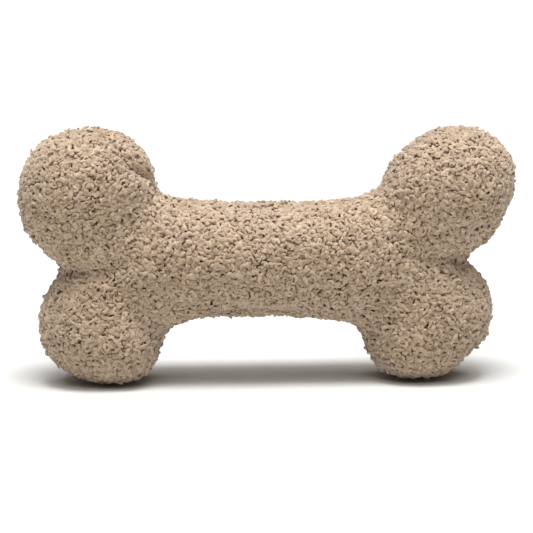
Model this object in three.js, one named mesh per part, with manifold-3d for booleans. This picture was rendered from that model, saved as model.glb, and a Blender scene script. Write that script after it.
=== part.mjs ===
// A plush bone dog toy, in millimetres. It stands on its two lower lobes.
// +X runs along the bone, +Y away from the viewer and +Z up. The seam lies in the plane y = 0.
import * as THREE from 'three';
import { mergeVertices } from 'three/addons/utils/BufferGeometryUtils.js';
import Module from 'manifold-3d';

const wasm = await Module();
wasm.setup();

// The four stuffed lobes: place of the centre, half widths along and across, and half depth.
// A lean is the angle in degrees of the long half width above +X.
const upperLeftX = -106.9;
const upperLeftZ = 112.6;
const upperLeftLong = 43;
const upperLeftShort = 40;
const upperLeftDepth = 35.5;
const upperLeftLean = 40;
const upperRightX = 106.1;
const upperRightZ = 111;
const upperRightLong = 46;
const upperRightShort = 37.6;
const upperRightDepth = 35.5;
const upperRightLean = 43;
const lowerLeftX = -99.9;
const lowerLeftLong = 39.6;
const lowerLeftShort = 35.6;
const lowerLeftDepth = 33.5;
const lowerLeftLean = -38;
const lowerRightX = 95.1;
const lowerRightLong = 42.4;
const lowerRightShort = 37.2;
const lowerRightDepth = 33.5;
const lowerRightLean = 40;

// The shaft between them: narrowest at its waist, wider towards the lobes, round at both ends
const shaftX = -3.1;
const shaftZ = 72.3;
const shaftLean = -0.8;
const waistHalf = 34.3;
const shaftFlare = 7.4;
const flareReach = 70;
const shaftDepth = 30;
const shaftReach = 122.5;
const endRound = 30;
const blendWidth = 8;

// How the stuffing settles: the lower lobes would reach this far under the floor, and give way
// over this height. What still reaches below the floor is cut flat.
const sag = 5;
const settleHeight = 10;
const flatCut = 0.5;

// Sherpa cover: backing and pile together, the seam allowance turned inside, the drawn-in seam
const coverWall = 4;
const allowanceWidth = 6;
const allowanceWall = 2.5;
const seamDip = 1.5;
const seamGap = 0.3;
const clearance = 0.3;

// Sewing threads
const threadRadius = 0.4;
const closingLeftX = -43.5;
const closingRightX = 22.5;
const stitchLength = 5;
const stitchHalf = 1.1;
const stitchRise = 1.1;

// Wads of fibrefill: the shaft's wad ends this far from the middle
const neckReach = 70;

// Round squeaker in a sewn pouch, in the middle of the shaft. Its air leaves through the back.
const squeakerHalfDepth = 10;
const frontShellDepth = 7;
const backShellDepth = 4;
const shellWall = 1.2;
const shellCorner = 3;
const bellowsFold = 1.6;
const bellowsWall = 0.7;
const pouchWall = 0.8;
const pouchHem = 1.9;
const pocketWall = 1.5;
const throatWidth = 14;

// Reed plug: two halves with a thin tongue between them
const plugRadius = 4.5;
const plugLength = 8;
const collarLength = 3;
const collarWall = 1.4;
const tongueWidth = 4;
const tongueLength = 7;
const tongueThickness = 0.3;
const tongueHold = 2.5;
const channelWidth = 2.8;
const channelDepth = 1.6;
const reliefWidth = 5.2;
const reliefDepth = 1.2;

// How finely the surfaces are divided
const arcStartDegrees = -48;
const arcEndDegrees = 170;
const arcSteps = 12;
const notchSteps = 3;
const cornerSteps = 5;
const shaftSteps = 4;
const capDegrees = 80;
const outerDegrees = [8, 22, 40, 60, capDegrees];
const innerDegrees = [20, 50, capDegrees];
const roundSteps = 24;
const edgeSteps = 3;
const bellowsFolds = 3;
const threadSides = 3;
const threadSteps = 120;
const marchSteps = 60;

// Materials
const finish = (color, roughness) => new THREE.MeshStandardMaterial({ color, roughness, metalness: 0 });
const sherpaFleece = () => finish('#b89f86', 0.95);
const fibrefill = () => finish('#eeece6', 0.9);
const polyesterThread = () => finish('#a68c72', 0.7);
const nonwovenPouch = () => finish('#f2f1ee', 0.85);
const softPolyethylene = () => finish('#e6e4dc', 0.45);
const stiffPolypropylene = () => finish('#dfe3e4', 0.4);
const polyesterFilm = () => finish('#cfd4d2', 0.3);

const radians = THREE.MathUtils.degToRad;

// How far a leaning lobe reaches from its centre, along x and along z
function reachAlongX(lobe) {
  return Math.hypot(lobe.long * Math.cos(radians(lobe.lean)), lobe.short * Math.sin(radians(lobe.lean)));
}

function reachAlongZ(lobe) {
  return Math.hypot(lobe.long * Math.sin(radians(lobe.lean)), lobe.short * Math.cos(radians(lobe.lean)));
}

// A lower lobe rests on the floor, so the height of its centre follows from its own size
function resting(lobe) {
  return { ...lobe, z: reachAlongZ(lobe) - sag };
}

const upperLeft = {
  x: upperLeftX,
  z: upperLeftZ,
  long: upperLeftLong,
  short: upperLeftShort,
  depth: upperLeftDepth,
  lean: upperLeftLean,
};
const upperRight = {
  x: upperRightX,
  z: upperRightZ,
  long: upperRightLong,
  short: upperRightShort,
  depth: upperRightDepth,
  lean: upperRightLean,
};
const lowerLeft = resting({
  x: lowerLeftX,
  long: lowerLeftLong,
  short: lowerLeftShort,
  depth: lowerLeftDepth,
  lean: lowerLeftLean,
});
const lowerRight = resting({
  x: lowerRightX,
  long: lowerRightLong,
  short: lowerRightShort,
  depth: lowerRightDepth,
  lean: lowerRightLean,
});
const lobes = [upperLeft, upperRight, lowerLeft, lowerRight];

// The stuffed body's surface: about how far a point lies outside it, below zero inside

function lobeGap(point, lobe) {
  const lean = radians(lobe.lean);
  const offX = point.x - lobe.x;
  const offZ = point.z - lobe.z;
  const along = offX * Math.cos(lean) + offZ * Math.sin(lean);
  const across = offZ * Math.cos(lean) - offX * Math.sin(lean);
  const size = Math.hypot(along / lobe.long, across / lobe.short, point.y / lobe.depth);
  const steepness = Math.hypot(along / lobe.long ** 2, across / lobe.short ** 2, point.y / lobe.depth ** 2);
  return steepness > 0 ? size * (size - 1) / steepness : -lobe.short;
}

function shaftGap(point) {
  const along = Math.abs(point.x - shaftX);
  const half = waistHalf + shaftFlare * (along / flareReach) ** 2;
  const end = Math.max(along - (shaftReach - endRound), 0) / endRound;
  const up = point.z - shaftZ - (point.x - shaftX) * Math.tan(radians(shaftLean));
  const size = Math.hypot(end, up / half, point.y / shaftDepth);
  const steepness = Math.hypot(end / endRound, up / half ** 2, point.y / shaftDepth ** 2);
  return steepness > 0 ? size * (size - 1) / steepness : -shaftDepth;
}

function blended(one, other) {
  const near = Math.max(blendWidth - Math.abs(one - other), 0) / blendWidth;
  return Math.min(one, other) - near * near * blendWidth / 4;
}

function bodyGap(point) {
  return lobes.reduce((gap, lobe) => blended(gap, lobeGap(point, lobe)), shaftGap(point));
}

// The distance from a point inside the body to its surface, along a direction
function distanceOut(start, direction) {
  let distance = 0;
  for (let step = 0; step < marchSteps; step += 1) {
    const point = start.clone().addScaledVector(direction, distance);
    distance -= bodyGap(point);
  }
  return distance;
}

// The floor presses the lowest stretch of the body together, more the lower it is
function settled(height) {
  const whole = sag + settleHeight;
  const left = settleHeight + flatCut;
  const share = Math.min((height + sag) / whole, 1);
  const easing = whole / left - 1;
  const pressed = left * (easing * share * share + (1 - easing) * share) - flatCut;
  return height < settleHeight ? pressed : height;
}

// Stations round the outline. Each looks out from a point of the bone's inner line, which runs
// from each lobe's centre to a fork near the bone's end, and from one fork to the other.

const forkX = (sideX) => shaftX + sideX * (shaftReach - endRound);
const stationAt = (x, z, outX, outZ) => ({ x, z, outX, outZ });

// Where a station meets the surface in the seam plane
function rimOf(station) {
  const out = new THREE.Vector3(station.outX, 0, station.outZ);
  const start = new THREE.Vector3(station.x, 0, station.z);
  return start.addScaledVector(out, distanceOut(start, out));
}

// Stations between two others: they stand along a line and aim at points between the others' rims
function stationsBetween(first, last, fork, steps) {
  const inner = new THREE.CurvePath();
  const corners = [first, fork, last].map((place) => new THREE.Vector2(place.x, place.z));
  inner.add(new THREE.LineCurve(corners[0], corners[1]));
  inner.add(new THREE.LineCurve(corners[1], corners[2]));
  const from = rimOf(first);
  const to = rimOf(last);
  const found = [];
  for (let step = 1; step < steps; step += 1) {
    const stand = inner.getPointAt(step / steps);
    const aim = from.clone().lerp(to, step / steps);
    const out = new THREE.Vector2(aim.x, aim.z).sub(stand).normalize();
    found.push(stationAt(stand.x, stand.y, out.x, out.y));
  }
  return found;
}

function notchStation(sideX) {
  return stationAt(forkX(sideX), shaftZ, sideX, 0);
}

function middleStation(sideZ) {
  return stationAt(shaftX, shaftZ, 0, sideZ);
}

// One quarter, from the notch at the bone's end round a lobe to the middle of the shaft
function quarterStations(lobe, sideX, sideZ) {
  const round = [];
  for (let step = 0; step <= arcSteps; step += 1) {
    const angle = radians(THREE.MathUtils.lerp(arcStartDegrees, arcEndDegrees, step / arcSteps));
    round.push(stationAt(lobe.x, lobe.z, sideX * Math.cos(angle), sideZ * Math.sin(angle)));
  }
  const notch = notchStation(sideX);
  const shoulderX = lobe.x - sideX * (reachAlongX(lobe) + blendWidth / 2);
  const shoulder = stationAt(shoulderX, shaftZ, 0, sideZ);
  const along = [];
  for (let step = 1; step < shaftSteps; step += 1) {
    along.push(stationAt(THREE.MathUtils.lerp(shoulderX, shaftX, step / shaftSteps), shaftZ, 0, sideZ));
  }
  return [
    ...stationsBetween(notch, round[0], notch, notchSteps),
    ...round,
    ...stationsBetween(round[arcSteps], shoulder, notch, cornerSteps),
    shoulder,
    ...along,
  ];
}

const stations = [
  notchStation(-1),
  ...quarterStations(upperLeft, -1, 1),
  middleStation(1),
  ...quarterStations(upperRight, 1, 1).reverse(),
  notchStation(1),
  ...quarterStations(lowerRight, 1, -1),
  middleStation(-1),
  ...quarterStations(lowerLeft, -1, -1).reverse(),
];

// The point seen from a station on a level this far from the seam plane, set in from the surface
function levelPoint(station, level, inset) {
  const out = new THREE.Vector3(station.outX, 0, station.outZ);
  const start = new THREE.Vector3(station.x, level, station.z);
  const point = start.addScaledVector(out, distanceOut(start, out) - inset);
  point.z = settled(point.z);
  return point;
}

// The point seen from a station when looking up from the seam plane by some degrees
function domePoint(station, rise, inset) {
  const flat = Math.cos(radians(rise));
  const out = new THREE.Vector3(station.outX * flat, Math.sin(radians(rise)), station.outZ * flat);
  const start = new THREE.Vector3(station.x, 0, station.z);
  const point = start.addScaledVector(out, distanceOut(start, out) - inset);
  point.z = settled(point.z);
  return point;
}

const levelRing = (level, inset) => stations.map((station) => levelPoint(station, level, inset));
const domeRing = (rise, inset) => stations.map((station) => domePoint(station, rise, inset));
const acrossSeam = (ring) => ring.map((point) => new THREE.Vector3(point.x, -point.y, point.z));

// Meshes and solids

function geometryOf(positions, triangles) {
  const geometry = new THREE.BufferGeometry();
  geometry.setAttribute('position', new THREE.BufferAttribute(new Float32Array(positions), 3));
  geometry.setIndex(triangles);
  return geometry;
}

// The same mesh with shared corners, no empty triangles, and its faces pointing out
function closedMesh(geometry) {
  const bare = geometry.clone();
  bare.deleteAttribute('normal');
  bare.deleteAttribute('uv');
  const merged = mergeVertices(bare);
  const places = merged.attributes.position;
  const corners = [new THREE.Vector3(), new THREE.Vector3(), new THREE.Vector3()];
  const kept = [];
  let volume = 0;
  for (let first = 0; first < merged.index.count; first += 3) {
    const triangle = [0, 1, 2].map((corner) => merged.index.getX(first + corner));
    if (new Set(triangle).size === 3) {
      kept.push(triangle);
      corners.forEach((corner, number) => corner.fromBufferAttribute(places, triangle[number]));
      volume += corners[0].dot(corners[1].clone().cross(corners[2]));
    }
  }
  const facingOut = volume < 0 ? kept.map(([one, two, three]) => [one, three, two]) : kept;
  return geometryOf(places.array, facingOut.flat());
}

function solidOf(geometry) {
  const closed = closedMesh(geometry);
  return new wasm.Manifold(new wasm.Mesh({
    numProp: 3,
    vertProperties: closed.attributes.position.array,
    triVerts: new Uint32Array(closed.index.array),
  }));
}

function meshOf(solid) {
  const mesh = solid.getMesh();
  return geometryOf(mesh.vertProperties, Array.from(mesh.triVerts));
}

// How the last ring of the cover and of the filling is closed, as seen along y
const capContour = domeRing(capDegrees, 0).map((point) => new THREE.Vector2(point.x, point.z));
const capTurn = Math.sign(THREE.ShapeUtils.area(capContour));
const capTriangles = THREE.ShapeUtils.triangulateShape(capContour, []).map((triangle) => {
  const turn = Math.sign(THREE.ShapeUtils.area(triangle.map((corner) => capContour[corner])));
  return turn === capTurn ? triangle : triangle.toReversed();
});

// A solid skinned over rings of equally many points, closed over the first ring and the last one.
// Each quad is split from its corner nearer the seam, so that neighbouring skins lie alike.
function ringMesh(rings) {
  const count = rings[0].length;
  const lastRing = (rings.length - 1) * count;
  const triangles = capTriangles.map((triangle) => triangle.toReversed());
  for (let ring = 0; ring + 1 < rings.length; ring += 1) {
    const climbing = Math.abs(rings[ring + 1][0].y) > Math.abs(rings[ring][0].y);
    for (let place = 0; place < count; place += 1) {
      const here = ring * count + place;
      const beside = ring * count + (place + 1) % count;
      const above = here + count;
      const across = beside + count;
      triangles.push(...(climbing
        ? [[here, beside, above], [beside, across, above]]
        : [[here, beside, across], [here, across, above]]));
    }
  }
  triangles.push(...capTriangles.map((triangle) => triangle.map((corner) => corner + lastRing)));
  const positions = rings.flat().flatMap((point) => point.toArray());
  return closedMesh(geometryOf(positions, triangles.flat()));
}

function blockSolid(low, high) {
  const size = high.clone().sub(low);
  const block = new THREE.BoxGeometry(size.x, size.y, size.z);
  block.translate((low.x + high.x) / 2, (low.y + high.y) / 2, (low.z + high.z) / 2);
  return solidOf(block);
}

// A round solid about the squeaker's axis, from a profile of radius and y
function turned(profile) {
  const points = profile.map(([radius, y]) => new THREE.Vector2(radius, y));
  const shape = closedMesh(new THREE.LatheGeometry(points, roundSteps));
  shape.translate(shaftX, 0, shaftZ);
  return shape;
}

// A thread laid along points
function threadAlong(points, steps) {
  const corners = [];
  for (let side = 0; side < threadSides; side += 1) {
    const angle = 2 * Math.PI * side / threadSides;
    corners.push(new THREE.Vector2(threadRadius * Math.cos(angle), threadRadius * Math.sin(angle)));
  }
  const section = new THREE.Shape(corners);
  const path = new THREE.CatmullRomCurve3(points);
  const tube = new THREE.ExtrudeGeometry(section, { steps, extrudePath: path, bevelEnabled: false });
  return closedMesh(tube);
}

const toy = new THREE.Group();

function addPart(name, geometry, material) {
  const part = new THREE.Mesh(geometry, material);
  part.name = name;
  toy.add(part);
}

// Cover: two panels, each one shell with its seam allowance turned in, cut flat at the floor

const seamLevel = seamGap / 2;
const allowanceLevel = seamLevel + allowanceWall;
const threadLevel = allowanceLevel + clearance + threadRadius;
const grooveLevel = threadLevel + threadRadius + clearance;
const reachOfAll = 2 * (shaftReach + upperRightLong);
const aboveFloor = blockSolid(
  new THREE.Vector3(-reachOfAll, -reachOfAll, 0),
  new THREE.Vector3(reachOfAll, reachOfAll, reachOfAll),
);

function coverRings() {
  return [
    ...outerDegrees.toReversed().map((rise) => domeRing(rise, 0)),
    levelRing(seamLevel, seamDip),
    levelRing(seamLevel, coverWall + allowanceWidth),
    levelRing(allowanceLevel, coverWall + allowanceWidth),
    levelRing(allowanceLevel, coverWall),
    levelRing(grooveLevel, coverWall),
    ...innerDegrees.map((rise) => domeRing(rise, coverWall)),
  ];
}

const backRings = coverRings();
const backPanel = solidOf(ringMesh(backRings)).intersect(aboveFloor);
const frontPanel = solidOf(ringMesh(backRings.map(acrossSeam))).intersect(aboveFloor);
addPart('front_panel', meshOf(frontPanel), sherpaFleece());
addPart('back_panel', meshOf(backPanel), sherpaFleece());

// Seam threads: needle thread on the front allowance, bobbin thread on the back one

const threadInset = coverWall + allowanceWidth / 2;

// The seam leaves the opening in the shaft's lower edge, which is closed by hand
const middle = stations.findIndex((station) => station.outX === 0 && station.outZ < 0 && station.x === shaftX);
const fromMiddle = [...stations.slice(middle), ...stations.slice(0, middle)];
const sewn = fromMiddle.filter((station) => {
  const underShaft = station.outZ < 0 && station.z === shaftZ;
  return !(underShaft && station.x > closingLeftX && station.x < closingRightX);
});

function seamThread(level) {
  return threadAlong(sewn.map((station) => levelPoint(station, level, threadInset)), threadSteps);
}

addPart('seam_needle_thread', seamThread(-threadLevel), polyesterThread());
addPart('seam_bobbin_thread', seamThread(threadLevel), polyesterThread());

// Ladder stitch that closes the opening: it crosses the seam from one panel to the other
function closingThread() {
  const count = Math.max(Math.round((closingRightX - closingLeftX) / stitchLength), 2);
  const points = [];
  for (let stitch = 0; stitch <= count; stitch += 1) {
    const x = THREE.MathUtils.lerp(closingLeftX, closingRightX, stitch / count);
    const level = (stitch % 2 ? 1 : -1) * stitchHalf;
    const down = { x, z: shaftZ, outX: 0, outZ: -1 };
    points.push(levelPoint(down, level, seamDip - stitchRise));
  }
  return threadAlong(points, 4 * count);
}

addPart('closing_thread', closingThread(), polyesterThread());

// Fibrefill: the shaft's wad reaches into the lobes, and each lobe's wad is cut by it

const filling = coverWall + clearance;
const grooveInset = coverWall + allowanceWidth + clearance;
const fillingHalf = [
  ...innerDegrees.toReversed().map((rise) => domeRing(rise, filling)),
  levelRing(grooveLevel, filling),
  levelRing(grooveLevel, grooveInset),
];
const wholeFilling = solidOf(ringMesh([...fillingHalf, ...fillingHalf.map(acrossSeam).reverse()]));

function wad(lowX, highX, lowZ, highZ) {
  const low = new THREE.Vector3(lowX, -reachOfAll, lowZ);
  return wholeFilling.intersect(blockSolid(low, new THREE.Vector3(highX, reachOfAll, highZ)));
}

const leftNeck = shaftX - neckReach;
const rightNeck = shaftX + neckReach;
const wadTop = shaftZ + clearance / 2;
const wadBottom = shaftZ - clearance / 2;
const lobeWads = {
  upper_left_filling: wad(-reachOfAll, leftNeck - clearance, wadTop, reachOfAll),
  upper_right_filling: wad(rightNeck + clearance, reachOfAll, wadTop, reachOfAll),
  lower_left_filling: wad(-reachOfAll, leftNeck - clearance, -reachOfAll, wadBottom),
  lower_right_filling: wad(rightNeck + clearance, reachOfAll, -reachOfAll, wadBottom),
};
for (const [name, solid] of Object.entries(lobeWads)) {
  addPart(name, meshOf(solid), fibrefill());
}

// The pouch is as wide as the room between the seam allowances leaves it, less a wall of filling
const pocketRadius = waistHalf - grooveInset - pocketWall;
const hemRadius = pocketRadius - clearance;
const pouchRadius = hemRadius - pouchHem;
const squeakerRadius = pouchRadius - pouchWall - clearance;
const pouchHalfDepth = squeakerHalfDepth + clearance + pouchWall;
const hemLevel = seamLevel + pouchWall;
const hemThreadLevel = hemLevel + clearance + threadRadius;
const pocketHemLevel = hemThreadLevel + threadRadius + clearance;
const pocketHalfDepth = pouchHalfDepth + clearance;

// The pocket in the shaft's wad, and the throat through which the squeaker is pushed in
const pocket = solidOf(turned([
  [0, -pocketHalfDepth],
  [pouchRadius + clearance - shellCorner / 2, -pocketHalfDepth],
  [pouchRadius + clearance, shellCorner / 2 - pocketHalfDepth],
  [pouchRadius + clearance, -pocketHemLevel],
  [pocketRadius, -pocketHemLevel],
  [pocketRadius, pocketHemLevel],
  [pouchRadius + clearance, pocketHemLevel],
  [pouchRadius + clearance, pocketHalfDepth - shellCorner / 2],
  [pouchRadius + clearance - shellCorner / 2, pocketHalfDepth],
  [0, pocketHalfDepth],
]));
const throat = blockSolid(
  new THREE.Vector3(shaftX - throatWidth / 2, -pocketHemLevel, shaftZ - waistHalf),
  new THREE.Vector3(shaftX + throatWidth / 2, pocketHemLevel, shaftZ),
);
const shaftWad = wad(leftNeck, rightNeck, -reachOfAll, reachOfAll).subtract(pocket).subtract(throat);
addPart('shaft_filling', meshOf(shaftWad), fibrefill());

// Squeaker pouch: two round bowls of nonwoven, hemmed together

function pouchHalf(side) {
  const insideRadius = pouchRadius - pouchWall;
  const insideDepth = pouchHalfDepth - pouchWall;
  const corner = shellCorner / 2;
  return turned([
    [0, side * pouchHalfDepth],
    [pouchRadius - corner, side * pouchHalfDepth],
    [pouchRadius, side * (pouchHalfDepth - corner)],
    [pouchRadius, side * hemLevel],
    [hemRadius, side * hemLevel],
    [hemRadius, side * seamLevel],
    [insideRadius, side * seamLevel],
    [insideRadius, side * (insideDepth - corner)],
    [insideRadius - corner, side * insideDepth],
    [0, side * insideDepth],
  ]);
}

addPart('pouch_front', pouchHalf(-1), nonwovenPouch());
addPart('pouch_back', pouchHalf(1), nonwovenPouch());

const hemThreadRadius = (pouchRadius + hemRadius) / 2 + threadRadius / 2;
addPart('pouch_thread', turned([
  [hemThreadRadius - threadRadius, hemThreadLevel],
  [hemThreadRadius, hemThreadLevel - threadRadius],
  [hemThreadRadius + threadRadius, hemThreadLevel],
  [hemThreadRadius, hemThreadLevel + threadRadius],
  [hemThreadRadius - threadRadius, hemThreadLevel],
]), polyesterThread());

// Squeaker body: a front shell that is pressed in, a folded wall, and a back shell with a collar

// Points of a rounded corner between a flat face and a straight wall
function roundCorner(radius, faceY, wallX, side) {
  const points = [];
  for (let step = 0; step <= edgeSteps; step += 1) {
    const angle = Math.PI / 2 * step / edgeSteps;
    points.push([wallX - radius + radius * Math.sin(angle), faceY - side * radius * (1 - Math.cos(angle))]);
  }
  return points;
}

const frontRimY = frontShellDepth - squeakerHalfDepth;
const backRimY = squeakerHalfDepth - backShellDepth;
const innerRadius = squeakerRadius - shellWall;
const innerHalfDepth = squeakerHalfDepth - shellWall;
const innerCorner = shellCorner - shellWall;
addPart('squeaker_front_shell', turned([
  [0, -squeakerHalfDepth],
  ...roundCorner(shellCorner, -squeakerHalfDepth, squeakerRadius, -1),
  [squeakerRadius, frontRimY],
  [innerRadius, frontRimY],
  ...roundCorner(innerCorner, -innerHalfDepth, innerRadius, -1).reverse(),
  [0, -innerHalfDepth],
]), softPolyethylene());

const holeRadius = plugRadius + clearance;
const collarRadius = holeRadius + collarWall;
const collarY = squeakerHalfDepth - shellWall - collarLength;
addPart('squeaker_back_shell', turned([
  [holeRadius, squeakerHalfDepth],
  ...roundCorner(shellCorner, squeakerHalfDepth, squeakerRadius, 1),
  [squeakerRadius, backRimY],
  [innerRadius, backRimY],
  ...roundCorner(innerCorner, innerHalfDepth, innerRadius, 1).reverse(),
  [collarRadius, innerHalfDepth],
  [collarRadius, collarY],
  [holeRadius, collarY],
  [holeRadius, squeakerHalfDepth],
]), softPolyethylene());

// The wall's folds run in and out between the two rims
function bellowsProfile() {
  const start = frontRimY + clearance;
  const end = backRimY - clearance;
  const outside = [];
  const inside = [];
  for (let fold = 0; fold <= 2 * bellowsFolds; fold += 1) {
    const y = THREE.MathUtils.lerp(start, end, fold / (2 * bellowsFolds));
    const dip = fold % 2 ? bellowsFold : 0;
    outside.push([squeakerRadius - dip, y]);
    inside.push([squeakerRadius - bellowsWall - dip, y]);
  }
  return [...outside, ...inside.reverse(), outside[0]];
}

addPart('squeaker_bellows', turned(bellowsProfile()), softPolyethylene());

// Reed: the plug's lower half holds the air channel, the upper one leaves room for the tongue

const plugFront = squeakerHalfDepth - plugLength;
const splitLevel = tongueThickness / 2 + clearance;
const plug = solidOf(turned([
  [0, plugFront],
  [plugRadius, plugFront],
  [plugRadius, squeakerHalfDepth],
  [0, squeakerHalfDepth],
]));

function plugBlock(halfWidth, frontY, backY, lowZ, highZ) {
  return blockSolid(
    new THREE.Vector3(shaftX - halfWidth, frontY, shaftZ + lowZ),
    new THREE.Vector3(shaftX + halfWidth, backY, shaftZ + highZ),
  );
}

const past = 2 * plugRadius;
const lowerHalf = plugBlock(past, plugFront - past, squeakerHalfDepth + past, -past, -splitLevel);
const upperHalf = plugBlock(past, plugFront - past, squeakerHalfDepth + past, splitLevel, past);
const channel = plugBlock(
  channelWidth / 2,
  plugFront - past,
  squeakerHalfDepth + past,
  -splitLevel - channelDepth,
  0,
);
const holdY = squeakerHalfDepth - tongueHold;
const relief = plugBlock(reliefWidth / 2, plugFront - past, holdY, 0, splitLevel + reliefDepth);
addPart('reed_base', meshOf(plug.intersect(lowerHalf).subtract(channel)), stiffPolypropylene());
addPart('reed_cover', meshOf(plug.intersect(upperHalf).subtract(relief)), stiffPolypropylene());

const tongueY = squeakerHalfDepth - tongueLength / 2;
const tongue = new THREE.BoxGeometry(tongueWidth, tongueLength, tongueThickness);
tongue.translate(shaftX, tongueY, shaftZ);
addPart('reed_tongue', closedMesh(tongue), polyesterFilm());

export default toy;
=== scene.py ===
"""Plush bone dog toy in curly sherpa fleece, laid out as a Blender add-on and run as a script.

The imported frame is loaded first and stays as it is. Each operator dresses one piece or one group of
like pieces of it, in metres. The front is at low Y, and the seam lies in the plane Y = 0.
"""

import math

import bmesh
import bpy
import numpy as np
from bpy.props import FloatProperty, FloatVectorProperty, IntProperty, PointerProperty
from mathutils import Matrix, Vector, noise
from mathutils.bvhtree import BVHTree
from mathutils.kdtree import KDTree


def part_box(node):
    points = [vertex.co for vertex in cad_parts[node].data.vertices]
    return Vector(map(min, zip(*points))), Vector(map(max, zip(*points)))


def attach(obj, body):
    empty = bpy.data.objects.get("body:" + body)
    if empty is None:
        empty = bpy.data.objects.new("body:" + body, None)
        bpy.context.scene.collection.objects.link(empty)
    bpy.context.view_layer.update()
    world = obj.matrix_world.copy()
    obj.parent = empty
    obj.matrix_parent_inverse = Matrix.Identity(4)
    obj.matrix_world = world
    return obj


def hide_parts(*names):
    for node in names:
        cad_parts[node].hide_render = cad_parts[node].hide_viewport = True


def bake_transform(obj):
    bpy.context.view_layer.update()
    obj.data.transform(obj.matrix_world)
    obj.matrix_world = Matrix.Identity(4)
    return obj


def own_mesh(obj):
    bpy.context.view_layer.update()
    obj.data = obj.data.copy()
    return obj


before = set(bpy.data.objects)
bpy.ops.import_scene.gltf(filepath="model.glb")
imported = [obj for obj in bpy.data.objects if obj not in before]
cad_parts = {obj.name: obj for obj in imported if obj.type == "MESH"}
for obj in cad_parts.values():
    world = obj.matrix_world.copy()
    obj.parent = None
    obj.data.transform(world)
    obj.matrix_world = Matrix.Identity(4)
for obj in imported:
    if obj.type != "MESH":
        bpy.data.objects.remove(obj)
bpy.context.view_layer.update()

bl_info = {
    "name": "Plush Bone Toy",
    "version": (1, 0, 0),
    "blender": (4, 5, 0),
    "location": "3D View > Sidebar > Plush Bone",
    "description": "Dresses the packed frame of a plush bone dog toy with fleece, stuffing and squeaker",
    "category": "Object",
}

MM = 0.001
# Points closer than this are made one
TOUCHING = 0.01 * MM
# Stands in for a length of zero where something is divided by it
TINY = 1e-12
SIDES = {"front": -1, "back": 1}
FILLINGS = [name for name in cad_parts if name.endswith("_filling")]

# Where the stuffing pulls the seam forward: a wad's name and a place as shares of its box along x and
# z, then how far it is pulled, how far round that place, and how much deeper and broader its groove is
SEAM_PULLS = (
    ("upper_left_filling", (0.8, 0.93), 8 * MM, 15 * MM, 2.4 * MM),
    ("upper_left_filling", (0.96, 0.76), 15 * MM, 15 * MM, 3 * MM),
    ("upper_right_filling", (0.75, 0.25), 13 * MM, 22 * MM, 1.8 * MM),
    ("lower_right_filling", (0.96, 0.32), 14.5 * MM, 22 * MM, 1.8 * MM),
    ("shaft_filling", (0.45, 0.26), 11.5 * MM, 50 * MM, 3 * MM),
)

# Where the stuffing presses the cover out or leaves it slack: a wad's name and a place in its box as
# before, then how far the cover is moved out, and how far round that place
BULGES = (
    ("upper_left_filling", (0.05, 0.75), 1.2 * MM, 22 * MM),
    ("upper_left_filling", (0.2, 0.95), 1.2 * MM, 12 * MM),
    ("upper_left_filling", (1, 0.75), 1.2 * MM, 14 * MM),
    ("upper_left_filling", (0.55, 1), -0.8 * MM, 14 * MM),
    ("upper_left_filling", (0.85, 0.75), -3 * MM, 8 * MM),
    ("upper_right_filling", (0.1, 0.75), 1.2 * MM, 14 * MM),
    ("upper_right_filling", (0.85, 0.1), 2 * MM, 14 * MM),
    ("lower_right_filling", (0.95, 0.75), 2 * MM, 16 * MM),
    ("lower_right_filling", (0.85, 0.08), -2.6 * MM, 16 * MM),
    ("lower_right_filling", (0.1, 0.2), 1.2 * MM, 14 * MM),
    ("lower_left_filling", (0.2, 0.02), -2.4 * MM, 14 * MM),
    ("lower_left_filling", (0.95, 0.35), 2.2 * MM, 15 * MM),
    ("lower_left_filling", (0.9, 0.1), 2.2 * MM, 13 * MM),
    ("shaft_filling", (0.5, 0), 1.8 * MM, 34 * MM),
    ("shaft_filling", (0.13, 0.2), 2 * MM, 12 * MM),
    ("shaft_filling", (0.79, 0.22), 1.4 * MM, 16 * MM),
    ("shaft_filling", (0.5, 0.85), 1 * MM, 40 * MM),
)

# The names of the part's bodies: the toy, and the pressed shell
TOY, PRESSED = "toy", "pressed_shell"
SQUEAKER_LOW, SQUEAKER_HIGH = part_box("pouch_front")[0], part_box("pouch_back")[1]
SQUEAKER_MIDDLE = (SQUEAKER_LOW + SQUEAKER_HIGH) / 2


# Helpers for colours, meshes and nodes


def linear(code):
    """An sRGB hex colour as linear red, green and blue, by the sRGB standard's curve."""
    values = [int(code[place : place + 2], 16) / 255 for place in (1, 3, 5)]
    return tuple(v / 12.92 if v <= 0.04045 else ((v + 0.055) / 1.055) ** 2.4 for v in values)


def unit(vectors):
    """Vectors scaled to length one, along the last axis."""
    return vectors / np.maximum(np.linalg.norm(vectors, axis=-1, keepdims=True), TINY)


def coordinates(mesh, what="co"):
    """A mesh's points or point normals as an array."""
    source = mesh.vertices if what == "co" else mesh.vertex_normals
    values = np.empty(len(mesh.vertices) * 3, np.float32)
    source.foreach_get("co" if what == "co" else "vector", values)
    return values.reshape(-1, 3).astype(float)


def move_points(mesh, points):
    """Moves a mesh's points to the given places."""
    mesh.vertices.foreach_set("co", np.asarray(points, np.float32).ravel())
    mesh.update()


def make_mesh(name, points, *faces):
    """A smooth mesh from points and groups of faces, each group with equally many corners."""
    mesh = bpy.data.meshes.new(name)
    corners = np.concatenate([group.ravel() for group in faces])
    sizes = np.concatenate([np.full(len(group), group.shape[1]) for group in faces])
    mesh.vertices.add(len(points))
    mesh.loops.add(len(corners))
    mesh.polygons.add(len(sizes))
    mesh.vertices.foreach_set("co", np.asarray(points, np.float32).ravel())
    mesh.loops.foreach_set("vertex_index", corners.astype(np.int32))
    mesh.polygons.foreach_set("loop_start", (np.cumsum(sizes) - sizes).astype(np.int32))
    mesh.update(calc_edges=True)
    mesh.shade_smooth()
    return mesh


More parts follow.
